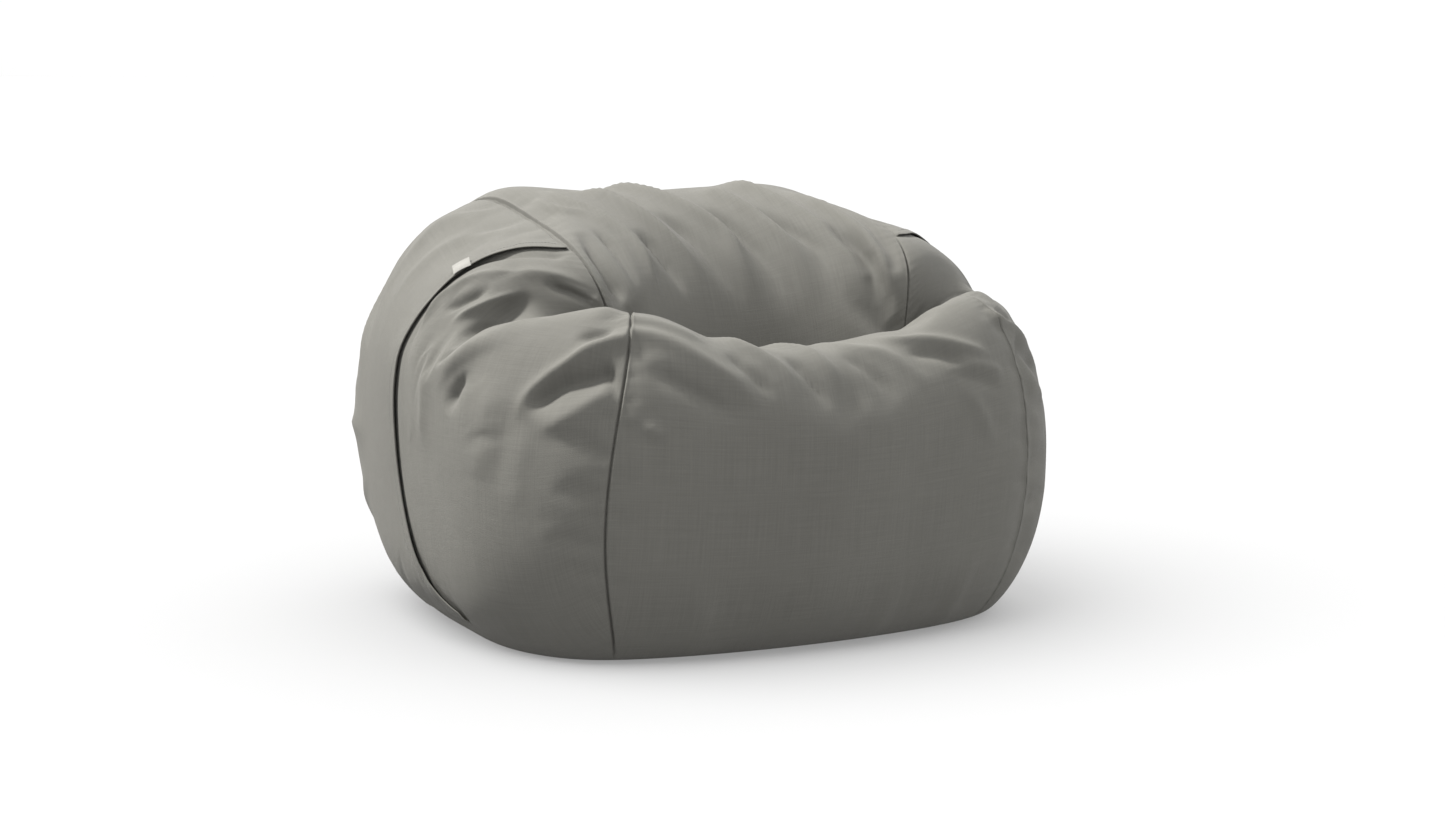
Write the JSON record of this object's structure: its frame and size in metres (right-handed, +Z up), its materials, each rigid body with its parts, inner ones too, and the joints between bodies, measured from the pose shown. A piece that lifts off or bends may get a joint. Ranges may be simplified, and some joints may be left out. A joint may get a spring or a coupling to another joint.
{
  "type": "bean bag chair",
  "caption": "Low armchair-shaped bean bag with a raised back, full arms, a dipped seat, hemmed rear flaps and a zipped flat base.",
  "frame": {"origin": "middle of the chair's bounding box in plan, at floor level", "axes": "-Y the way the sitter faces, +Z up, +X towards the right of the picture when the chair is looked at from the front"},
  "size_m": [1.036, 0.958, 0.672],
  "materials": {
    "canvas": "plain woven canvas",
    "flap_canvas": "plain woven canvas",
    "base_canvas": "coated canvas",
    "liner_cloth": "thin non-woven cloth",
    "beads": "loose foam beads",
    "label": "woven label",
    "zip_tape": "woven tape",
    "zip_coil": "nylon coil",
    "zip_metal": "dull plated metal"
  },
  "bodies": {
    "bag": {"fill_beads": "beads", "liner_bag": "liner_cloth", "centre_panel": "canvas", "left_side_panel": "canvas", "right_side_panel": "canvas", "left_rear_flap": "flap_canvas", "right_rear_flap": "flap_canvas", "base_front_panel": "base_canvas", "base_rear_panel": "base_canvas", "side_label": "label", "zip_tape_front": "zip_tape", "zip_tape_rear": "zip_tape", "zip_coil_front": "zip_coil", "zip_coil_rear": "zip_coil", "zip_stop_left": "zip_metal", "zip_stop_right": "zip_metal", "liner_zip_tape_front": "liner_cloth", "liner_zip_tape_rear": "liner_cloth", "liner_zip_coil_front": "zip_coil", "liner_zip_coil_rear": "zip_coil"},
    "zip_slider": {"zip_slider": "zip_metal"},
    "zip_pull": {"zip_pull": "zip_metal"},
    "liner_slider": {"liner_zip_slider": "zip_metal"}
  },
  "joints": [
    {"name": "zip_slide", "type": "slide", "parent": "bag", "child": "zip_slider", "axis": [1, 0, 0], "range_m": [-0.476, 0]},
    {"name": "pull_hinge", "type": "hinge", "parent": "zip_slider", "child": "zip_pull", "pos_m": [0.238, 0.06, 0.0057], "axis": [0, 1, 0], "range_deg": [-8, 0]},
    {"name": "liner_slide", "type": "slide", "parent": "bag", "child": "liner_slider", "axis": [1, 0, 0], "range_m": [0, 0.476]}
  ]
}
